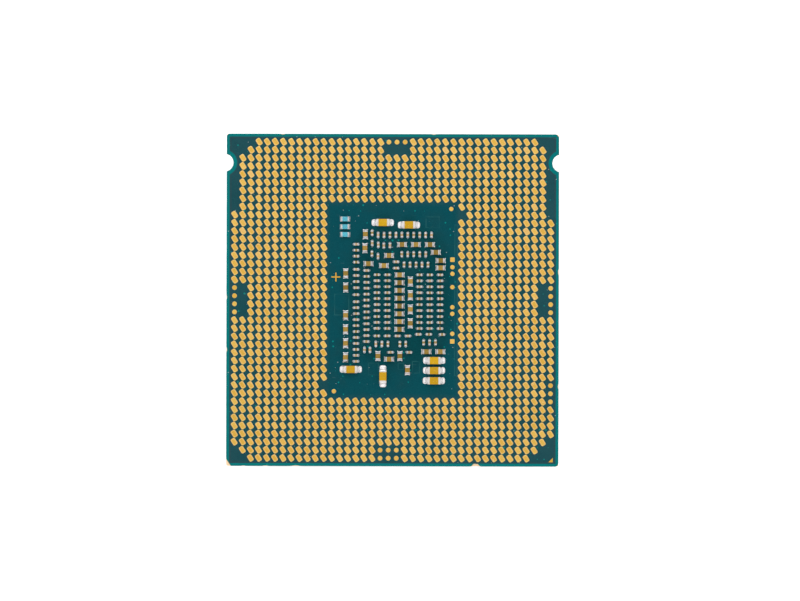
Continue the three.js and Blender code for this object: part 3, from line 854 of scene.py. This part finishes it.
def chips(node, k):
    """The chips of one node: a bank's are told apart by their top faces."""
    low, high = box_mm(node)
    bank = "capacitors" in node
    patches = top_patches(node) if bank else [(low[0], low[1], high[0], high[1])]
    body = Body()
    for x0, y0, x1, y1 in patches:
        upright = (y1 - y0) > (x1 - x0)
        length, width = max(x1 - x0, y1 - y0), min(x1 - x0, y1 - y0)
        centre = ((x0 + x1) / 2, (y0 + y1) / 2)
        add_chip(body, k, *centre, length, width, high[2] - TOP, upright)
    body.piece(f"{node}_piece", [k["ceramic"], k["end"], k["solder"]], k["slot"], [node])


for node in sorted(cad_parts):
    kind = node.split("_")[0]
    if kind in KINDS:
        chips(node, KINDS[kind])


# ---- lid --------------------------------------------------------------------

def reach_of(rect, angle):
    """Distance from the centre to a rounded rectangle's edge in one direction."""
    width, height, radius = rect
    c, s = abs(math.cos(angle)), abs(math.sin(angle))
    hw, hh = width / 2, height / 2
    flat = min(hw / max(c, 1e-9), hh / max(s, 1e-9))
    if flat * c <= hw - radius or flat * s <= hh - radius:
        return flat
    ox, oy = hw - radius, hh - radius
    along = ox * c + oy * s
    return along + math.sqrt(max(0.0, along ** 2 - ox ** 2 - oy ** 2 + radius ** 2))


def polar_ring(rects, z, inset):
    """Outline of several rounded rectangles together, drawn in by an inset."""
    count = 720
    drawn_in = [(w - 2 * inset, h - 2 * inset, max(radius - inset, 0.02)) for w, h, radius in rects]
    ring = []
    for k in range(count):
        a = 2 * math.pi * k / count
        r = max(reach_of(rect, a) for rect in drawn_in)
        ring.append((r * math.cos(a), r * math.sin(a), z))
    return ring


# Width, height and corner radius of the rectangles that make up each outline. The flange is
# nearly square, with an ear on its -X and +X sides.
PLATEAU = [(28.6, 28.6, 1.4)]
FLANGE = [(32.0, 31.4, 1.8), (34.4, 15.0, 1.2)]
CAVITY = [(24.0, 24.0, 1.5)]
# Heights of the step to the flange, the cavity's bottom and the rim, and the radii of the edges.
Z_FLANGE, Z_CAVITY, Z_RIM = 2.0, 2.8, 3.5
PLATEAU_EDGE, FLANGE_EDGE, RIM_EDGE = 0.28, 0.18, 0.10


def lower_edge(rects, z, radius, steps):
    """Outlines, heights and insets of a quarter-round edge that starts on the level z."""
    for k in range(steps, -1, -1):
        a = math.pi / 2 * k / steps
        yield rects, z + radius * (1 - math.sin(a)), radius * (1 - math.cos(a))


def upper_edge(rects, z, radius, steps):
    """The same for an edge that ends on the level z."""
    for k in range(steps + 1):
        a = math.pi / 2 * k / steps
        yield rects, z - radius * (1 - math.sin(a)), radius * (1 - math.cos(a))


def heat_spreader():
    """The lid, from its contact face up over the step and the rim and down into the cavity."""
    profile = [
        *lower_edge(PLATEAU, 0.0, PLATEAU_EDGE, 5),
        (PLATEAU, Z_FLANGE - 0.25, 0.0),
        (PLATEAU, Z_FLANGE - 0.08, -0.04),
        (PLATEAU, Z_FLANGE, -0.16),
        *lower_edge(FLANGE, Z_FLANGE, FLANGE_EDGE, 4),
        *upper_edge(FLANGE, Z_RIM, RIM_EDGE, 3),
        (CAVITY, Z_RIM, -0.1),
        (CAVITY, Z_RIM - 0.06, 0.0),
        (CAVITY, Z_CAVITY + 0.15, 0.03),
        (CAVITY, Z_CAVITY, 0.2),
    ]
    body = Body()
    body.loft([polar_ring(rects, z, inset) for rects, z, inset in profile])
    body.piece("heat_spreader_piece", [NICKEL], "nickel_plate", ["heat_spreader"], sharp=32)


heat_spreader()


# Half the vent's width, half the size of the square inside the bead, and the bead's corner radius.
VENT_HALF, BEAD_INNER, BEAD_RADIUS = 1.1, 12.5, 1.5


def bead_path(half_width, half_height):
    """Middle of the bead from one side of the vent round to the other, with outward normals."""
    path = [(VENT_HALF, -half_height, 0, -1)]
    for sx, sy, start in ((1, -1, -90), (1, 1, 0), (-1, 1, 90), (-1, -1, 180)):
        for k in range(9):
            a = math.radians(start + 90 * k / 8)
            u, v = math.cos(a), math.sin(a)
            path.append((sx * (half_width - BEAD_RADIUS) + BEAD_RADIUS * u,
                         sy * (half_height - BEAD_RADIUS) + BEAD_RADIUS * v, u, v))
    path.append((-VENT_HALF, -half_height, 0, -1))
    spacing, fine = 0.4, []
    for start, end in zip(path, path[1:]):
        count = max(1, round(math.hypot(end[0] - start[0], end[1] - start[1]) / spacing))
        for k in range(count):
            fine.append([p + (q - p) * (k / count) for p, q in zip(start, end)])
    return [*fine, path[-1]]


def lid_sealant():
    """A squeezed-out bead with a wavy edge, open at the vent."""
    low, high = box_mm("lid_sealant")
    half = (high[0] - BEAD_INNER) / 2
    free = 0.15                             # what the bead leaves free at each side before it waves
    z0, z1 = low[2], high[2]
    middle = (z0 + z1) / 2
    rings, wave = [], random.Random(5)
    drift = 0.0
    for x, y, u, v in bead_path((high[0] + BEAD_INNER) / 2, (high[1] + BEAD_INNER) / 2):
        drift = 0.85 * drift + wave.uniform(-0.05, 0.05)
        outer = half - free + min(0.12, drift)
        inner = -half + free + drift * 0.6
        section = [(inner, z0), (inner - 0.06, middle), (inner, z1),
                   (outer, z1), (outer + 0.07, middle), (outer, z0)]
        rings.append([(x + u * s, y + v * s, z) for s, z in section])
    body = Body()
    body.loft(rings)
    body.piece("lid_sealant_piece", [SEALANT], "sealant", ["lid_sealant"], sharp=50)


lid_sealant()


# ---- floor, light and camera ------------------------------------------------

def floor():
    """Pale paper that glows a little, more so far from the part, where less light falls."""
    half, drop = 3.0, 0.03 * MM            # metres
    mesh = bpy.data.meshes.new("floor")
    corners = [(-half, -half), (half, -half), (half, half), (-half, half)]
    mesh.from_pydata([(x, y, -drop) for x, y in corners], [], [(0, 1, 2, 3)])
    g = Graph("pale_floor")
    paint = g.mix(g.noise(0.02, 3), (0.93, 0.93, 0.93), (0.90, 0.90, 0.90))
    mesh.materials.append(g.finish(paint, 0.85, specular=0.1))
    g.shader.inputs["Emission Color"].default_value = (1, 1, 1, 1)
    away = g.add("ShaderNodeVectorMath", "Value", {0: g.place}, operation="LENGTH")
    g.feed(g.shader.inputs["Emission Strength"], g.step(away, 60.0, 400.0, 0.45, 0.70))
    plane = bpy.data.objects.new("floor", mesh)
    bpy.context.scene.collection.objects.link(plane)
    plane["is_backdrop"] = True


def softbox(name, azimuth, elevation, size, power):
    """A square light aimed at the part, in metres and watts. Azimuth 0 is +X and 90 is +Y."""
    distance = 0.60
    lamp = bpy.data.lights.new(name, "AREA")
    lamp.energy, lamp.size = power, size
    light = bpy.data.objects.new(name, lamp)
    a, e = math.radians(azimuth), math.radians(elevation)
    place = Vector((math.cos(a) * math.cos(e), math.sin(a) * math.cos(e), math.sin(e)))
    light.location = place * distance
    light.rotation_euler = place.to_track_quat("Z", "Y").to_euler()
    bpy.context.scene.collection.objects.link(light)


def pale_world(horizon, above):
    """A white studio cove: bright to well above the horizon, and dimmer overhead."""
    world = bpy.data.worlds.new("studio")
    bpy.context.scene.world = world
    world.use_nodes = True
    tree = world.node_tree
    direction = tree.nodes.new("ShaderNodeTexCoord").outputs["Generated"]
    split = tree.nodes.new("ShaderNodeSeparateXYZ")
    fade = tree.nodes.new("ShaderNodeMapRange")
    fade.interpolation_type = "SMOOTHSTEP"
    for name, value in {"From Min": 0.22, "From Max": 0.50, "To Min": horizon, "To Max": above}.items():
        fade.inputs[name].default_value = value
    tree.links.new(direction, split.inputs[0])
    tree.links.new(split.outputs["Z"], fade.inputs[0])
    tree.links.new(fade.outputs[0], tree.nodes["Background"].inputs["Strength"])
    tree.nodes["Background"].inputs["Color"].default_value = (1, 1, 1, 1)


def studio():
    pale_world(1.0, 0.34)
    softbox("key", 95, 48, 0.34, 1.38)
    softbox("left_fill", 175, 42, 0.30, 0.62)
    softbox("right_fill", 5, 42, 0.30, 0.62)
    softbox("front_fill", 270, 42, 0.30, 0.88)
    softbox("overhead", 90, 89, 0.55, 0.60)
    bpy.context.scene.view_settings.view_transform = "Standard"


def camera():
    """Looks straight down on the lands, from nearly over the middle."""
    lens, sensor = 100.0, 36.0
    view_width = 90.23                      # what the frame spans at the mask's level
    height = view_width * lens / sensor
    data = bpy.data.cameras.new("camera")
    data.lens, data.sensor_width = lens, sensor
    data.clip_start, data.clip_end = 0.01, 10
    eye = bpy.data.objects.new("camera", data)
    eye.location = (0.835 * MM, -0.037 * MM, (TOP + height) * MM)
    eye.rotation_euler = (0, 0, math.radians(0.14))
    bpy.context.scene.collection.objects.link(eye)
    bpy.context.scene.camera = eye


floor()
studio()
camera()

boxes = {"cad": cad_bounds, "visual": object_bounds()}
{key: [list(corner) for corner in box] for key, box in boxes.items()}
